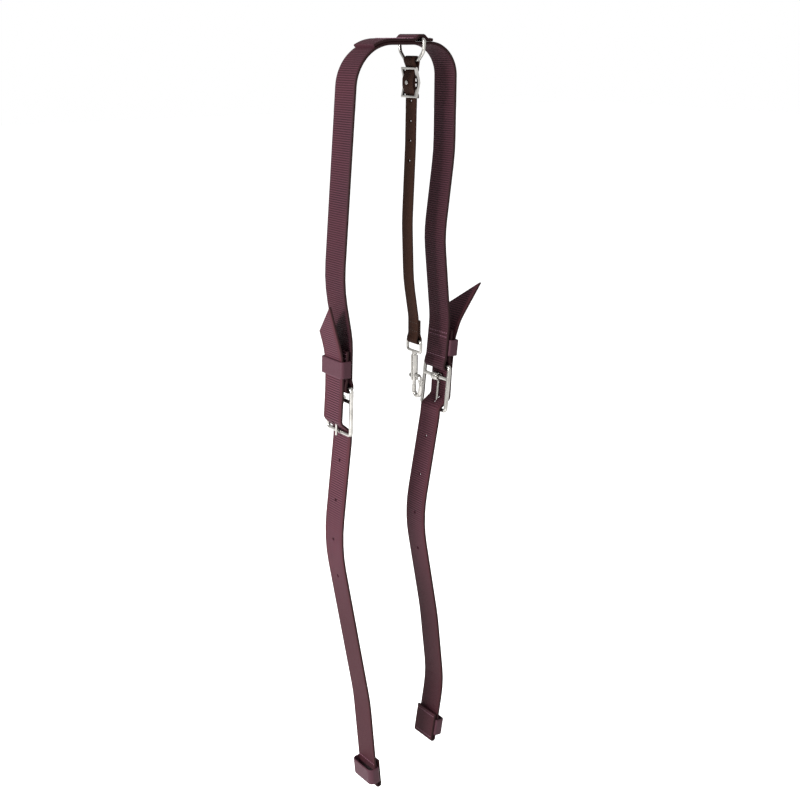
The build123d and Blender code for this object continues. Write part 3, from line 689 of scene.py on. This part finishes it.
for side, sign in SIGN.items():
    route = [at_buckle(side, *point) for point in tips[side] + threaded] + lower[side]
    end = Vector(route[-1])
    down = (end - Vector(route[-2])).normalized()
    inward = Vector((sign * down.y, -sign * down.x))
    billet_end[side] = (end, down, inward)
    corner = end + inward * (2 * TURNED)
    route += [tuple(corner), tuple(corner - down * TURN_UP)]
    path = Path(route, tip_bends[side] + mm(60, 7, 7, 60) + lower_bends[side] + mm(2.5, 2.5))
    billet = ribbon(f"{side}_billet_webbing", path, BILLET_WIDTH, BILLET_THICK, step=0.0013,
                    columns=14, slant=TIP_DROP)
    high, low = (Vector(at_buckle(side, *threaded[index])) for index in (1, 2))
    share = (CROSS_OUT - SLOT_OUT) / (CROSS_OUT + BEHIND)
    first = path.nearest(high + (low - high) * share)
    holes = [(*path.at(first), SLOT_LENGTH, SLOT_BREADTH, CUT_REACH)]
    holes += [(*path.at(first + HOLE_STEP * count), HOLE_OPEN, HOLE_OPEN, CUT_REACH)
              for count in range(1, HOLES + 1)]
    billet = punched(billet, pins(f"{side}_billet_holes", holes))
    billet.data.materials.clear()
    billet.data.materials.append(diamond.material)
    billet.data.materials.append(sealed.material)
    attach(billet, f"{side}_buckle")
    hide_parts(f"{side}_billet")


# End loops: a flat band of the satin webbing sewn between each billet and its turned-up end,
# standing off the outer face so that a girth can pass through it.
LOOP_HEIGHT, LOOP_FOOT = mm(22, 8)
loop_outline = [mm(-20.3, 0), mm(20.3, 0), mm(20.3, 13), mm(-20.3, 13)]
for side, sign in SIGN.items():
    end, down, inward = billet_end[side]
    start = end + inward * TURNED - down * (LOOP_FOOT + LOOP_HEIGHT / 2)
    axes = (Vector((start.x, 0, start.y)), Vector((0, sign, 0)), Vector((-inward.x, 0, -inward.y)),
            Vector((-down.x, 0, -down.y)))
    band = ribbon(f"{side}_end_loop_band", Path(loop_outline, mm(1.4, 1.4, 6.0, 6.0), closed=True),
                  LOOP_HEIGHT, KEEPER_THICK, step=0.0012, columns=15, axes=axes)
    band.data.materials.append(satin.material)
    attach(band, f"{side}_buckle")
    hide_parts(f"{side}_end_loop")


# Centre strap: one length of narrow dark brown webbing. It is looped over the bow of the ring, both
# layers threaded through the adjuster, and its lower end folded round the snap's eye and sewn.
brown = Finish("strap_webbing", Specular_IOR_Level=0.04)
run, off = brown.weave()
STRAP_WIDTH, STRAP_THICK = mm(20, 2.5)
STRAP_EDGE_SHADE, CHEVRON_PITCH, CHEVRON_BREADTH, STRAP_YARN_PITCH = mm(0.9, 1.9, 2.6, 1.4)
chevron = (run * (2 * pi / CHEVRON_PITCH) + abs(off) * (2 * pi / CHEVRON_BREADTH)).wave()
cross = (off * (2 * pi / STRAP_YARN_PITCH)).wave()
fibre = brown.noise(brown.place(), 900.0, 2.0)
fade = brown.noise(brown.place(), 25.0, 3.0)
twist = chevron * 0.7 + cross * 0.3
# Painted shade: the strap's edges are darkened, for the shade that falls along its selvedges.
edge_shade = abs(off).above(STRAP_WIDTH / 2 - STRAP_EDGE_SHADE)
dark = brown.mix(twist, (0.005, 0.002, 0.0012, 1), (0.034, 0.0135, 0.0085, 1))
dusty = brown.mix((fade * 1.5 - 0.5).clear() * 0.4, dark, (0.026, 0.012, 0.008, 1))
brown.feed(Base_Color=brown.mix(edge_shade * 0.6, dusty, (0.012, 0.006, 0.005, 1)),
           Roughness=0.55 + fibre * 0.25)
brown.bump(twist * 0.75 + fibre * 0.25, 0.5, 0.00025)


def beside(points, radii, shift):
    """A route moved to its left by a shift, its bends kept round the same centres."""
    angles = [atan2(b[1] - a[1], b[0] - a[0]) for a, b in zip(points, points[1:])]
    moved = [(points[0][0] - shift * sin(angles[0]), points[0][1] + shift * cos(angles[0]))]
    bends = []
    for point, before, after, radius in zip(points[1:-1], angles, angles[1:], radii):
        turn = (after - before + radians(540)) % radians(360) - radians(180)
        half = before + turn / 2
        reach = shift / cos(turn / 2)
        moved.append((point[0] - reach * sin(half), point[1] + reach * cos(half)))
        bends.append(radius - shift if turn > 0 else radius + shift)
    last = points[-1]
    moved.append((last[0] - shift * sin(angles[-1]), last[1] + shift * cos(angles[-1])))
    return moved, bends


PAIR = 1.35             # each layer from the middle of the two
layers = [(26, -58.5), (26, -55.2), (21, -45.2), (21, -37.2), (26, -27.2), (26, -24.7)]
back_layer, back_bends = beside(layers, [5, 5, 5, 5], -PAIR)
front_layer, front_bends = beside(layers, [5, 5, 5, 5], PAIR)
BOW_X, BOW_WRAP = 25, 3.55
EYE_X, EYE_Z, EYE_WRAP = 30, -343, 3.35
bow_loop = [(BOW_X + BOW_WRAP, -17.7), (BOW_X + BOW_WRAP, -13.15), (BOW_X - BOW_WRAP, -13.15),
            (BOW_X - BOW_WRAP, -17.7)]
long_run = [(23.5, -112), (19, -200), (21, -268)]
eye_turn = [(EYE_X - PAIR, -315), (EYE_X - PAIR, -335), (EYE_X - EYE_WRAP, -341),
            (EYE_X - EYE_WRAP, EYE_Z - EYE_WRAP), (EYE_X + EYE_WRAP, EYE_Z - EYE_WRAP),
            (EYE_X + EYE_WRAP, -341), (EYE_X + PAIR, -335), (EYE_X + PAIR, -318)]
strap_route = back_layer + bow_loop + front_layer[::-1] + long_run + eye_turn
strap_bends = (back_bends + [3, 3, 3.5, 3.5, 3, 3] + front_bends[::-1] + [40, 260, 260, 200, 50]
               + [5, 3, 3.3, 3.3, 3, 5])
strap_path = Path([mm(*point) for point in strap_route], mm(*strap_bends))
centre = ribbon("centre_strap_webbing", strap_path, STRAP_WIDTH, STRAP_THICK, step=0.0011, columns=10)
STUD_AT = (21, -41.2)
STUD_HOLE, STUD_REACH = mm(3.3, 5)      # through both layers
STRAP_HOLE, STRAP_HOLE_REACH = mm(4, 1.5)
FIRST_HOLE, STRAP_HOLE_STEP, STRAP_HOLES = 0.003, 0.0224, 4
stud = (Vector(mm(*STUD_AT)), Vector((-1, 0)), STUD_HOLE, STUD_HOLE, STUD_REACH)
first = strap_path.nearest(Vector(mm(*front_layer[0]))) + FIRST_HOLE
strap_holes = [(*strap_path.at(first + STRAP_HOLE_STEP * count), STRAP_HOLE, STRAP_HOLE, STRAP_HOLE_REACH)
               for count in range(STRAP_HOLES)]
centre = punched(centre, pins("centre_strap_holes", [stud] + strap_holes))
centre.data.materials.clear()
centre.data.materials.append(brown.material)
centre.data.materials.append(sealed.material)
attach(centre, "strap")
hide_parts("centre_strap")


# Adjuster: a nickel-plated cast frame of three bars, and a riveted stud on its middle bar that
# pins both layers of the centre strap.
for part in ("adjuster_frame", "adjuster_stud"):
    frame["nodes"][part].material_slots[0].material = nickel.material


# Snap: a nickel-plated cast body with a hook, swivelling on the shank of its eye, and a spring
# bolt with a thumb lug. The bolt's spring is bright steel wire.
for part in ("snap_eye", "snap_body", "snap_bolt"):
    frame["nodes"][part].material_slots[0].material = nickel.material
steel = Finish("spring_steel", Metallic=1.0)
drawn = steel.noise(steel.place(), 1500.0, 2.0)
steel.feed(Base_Color=steel.mix(drawn, (0.36, 0.36, 0.37, 1), (0.52, 0.52, 0.53, 1)),
           Roughness=0.2 + drawn * 0.2)
steel.bump(drawn, 0.2, 0.00005)

COIL_RADIUS, COIL_HEIGHT, COIL_WIRE = mm(1.9, 10.3, 0.3)
COIL_TURNS = 8.0
COIL_FOOT = -381.95     # on the bolt's head, millimetres
coil = Tree("coil_spring", {"Turns": COIL_TURNS, "Radius": COIL_RADIUS, "Height": COIL_HEIGHT,
                            "Wire": COIL_WIRE})
spiral = coil.node("GeometryNodeCurveSpiral", {},
                   {"Resolution": 28, "Rotations": coil.entry.outputs["Turns"],
                    "Start Radius": coil.entry.outputs["Radius"],
                    "End Radius": coil.entry.outputs["Radius"],
                    "Height": coil.entry.outputs["Height"]})
wire = coil.node("GeometryNodeCurvePrimitiveCircle", {},
                 {"Resolution": 10, "Radius": coil.entry.outputs["Wire"]})
coil.end(coil.node("GeometryNodeCurveToMesh", {},
                   {"Curve": spiral, "Profile Curve": wire, "Fill Caps": True}))
spring = bpy.data.objects.new("bolt_spring", bpy.data.meshes.new("bolt_spring"))
bpy.context.scene.collection.objects.link(spring)
coil.put_on(spring, steel.material)
spring = settle(spring)
spring.data.transform(Matrix.Translation(mm(EYE_X, 0, COIL_FOOT)))
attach(spring, "snap")
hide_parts("snap_spring")
mm(30, 0, -371.3)
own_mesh(spring)


# Stitching: rows of bonded nylon thread across the webbing, a shade lighter than what they hold:
# over the keepers and the folds, over the crown, at the billets' ends and at the snap's eye.
def thread_finish(name, shade, light):
    """Twisted thread, its colour between two shades."""
    thread = Finish(name, Specular_IOR_Level=0.2)
    ply = thread.noise(thread.place(), 2400.0, 1.0)
    thread.feed(Base_Color=thread.mix(ply, shade, light), Roughness=0.45 + ply * 0.2)
    thread.bump(ply, 0.5, 0.00012)
    return thread.material


burgundy_thread = thread_finish("thread", (0.080, 0.034, 0.050, 1), (0.170, 0.080, 0.112, 1))
brown_thread = thread_finish("strap_thread", (0.018, 0.010, 0.008, 1), (0.042, 0.026, 0.019, 1))

STITCH_PITCH, STITCH_LENGTH, THREAD_RADIUS = mm(3.4, 2.4, 0.42)
sewing = Tree("stitch_rows", {"Pitch": STITCH_PITCH, "Length": STITCH_LENGTH, "Thread": THREAD_RADIUS})
line = sewing.node("GeometryNodeMeshToCurve", {}, {"Mesh": sewing.entry.outputs["Geometry"]})
spots = sewing.node("GeometryNodeCurveToPoints", {"mode": "LENGTH"},
                    {"Curve": line, "Length": sewing.entry.outputs["Pitch"]})
ball = sewing.node("GeometryNodeMeshUVSphere", {}, {"Segments": 10, "Rings": 8, "Radius": 1.0})
half_length = sewing.maths("MULTIPLY", sewing.entry.outputs["Length"], 0.5)
size = sewing.node("ShaderNodeCombineXYZ", {}, {0: sewing.entry.outputs["Thread"],
                                                1: sewing.entry.outputs["Thread"], 2: half_length})
stitch = sewing.node("GeometryNodeTransform", {}, {"Geometry": ball, "Scale": size})
sewing.end(sewing.node("GeometryNodeInstanceOnPoints", {},
                       {"Points": spots, "Instance": stitch, "Rotation": spots.node.outputs["Rotation"]}))


def sew(name, rows, material, body, node):
    """Rows of stitches, each given by its middle and its half length, running across the webbing."""
    data = bpy.data.meshes.new(name)
    verts = []
    for place, reach in rows:
        verts += [place - Vector((0, reach, 0)), place + Vector((0, reach, 0))]
    data.from_pydata(verts, [(2 * index, 2 * index + 1) for index in range(len(rows))], [])
    piece = bpy.data.objects.new(name, data)
    bpy.context.scene.collection.objects.link(piece)
    sewing.put_on(piece, material)
    piece = settle(piece)
    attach(piece, body)
    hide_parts(node)


LEG_REACH, END_REACH, EYE_REACH = mm(17.2, 16.2, 7.2)     # half the length of each row
THREAD_LIFT = 0.15                      # middle of the thread above the webbing, millimetres
LEG_ROWS = (11, 36, 41)                 # up from the heel bar
LEG_OUT = LAYER + 1000 * WEB_THICK / 2 + THREAD_LIFT
END_ROWS, END_OUT = mm(5, 34), 0.0041   # up from a billet's end, and out from the middle
CROWN_ROWS, CROWN_TOP = (-12.2, 2, 13.5, 37.5), 7.2
EYE_ROWS, EYE_OUT = (12, 22), 2.65      # up from the snap's eye, and out from the middle
for side in SIGN:
    rows = []
    for up in LEG_ROWS:
        for out in (LEG_OUT, -LEG_OUT):
            x, z = at_buckle(side, out, up)
            rows.append((Vector((x, 0, z)), LEG_REACH))
    sew(f"{side}_leg_thread", rows, burgundy_thread, "root", f"{side}_leg_stitches")

    end, down, inward = billet_end[side]
    rows = []
    for up in END_ROWS:
        for out in (-END_OUT, END_OUT):
            spot = end + inward * TURNED - down * up + inward * out
            rows.append((Vector((spot.x, 0, spot.y)), END_REACH))
    sew(f"{side}_end_thread", rows, burgundy_thread, f"{side}_buckle", f"{side}_end_stitches")

rows = [(Vector(mm(x, 0, CROWN_TOP)), LEG_REACH) for x in CROWN_ROWS]
sew("crown_thread", rows, burgundy_thread, "root", "crown_stitches")

rows = [(Vector(mm(EYE_X + out, 0, EYE_Z + up)), EYE_REACH)
        for up in EYE_ROWS for out in (-EYE_OUT, EYE_OUT)]
sew("centre_strap_thread", rows, brown_thread, "strap", "centre_strap_stitches")
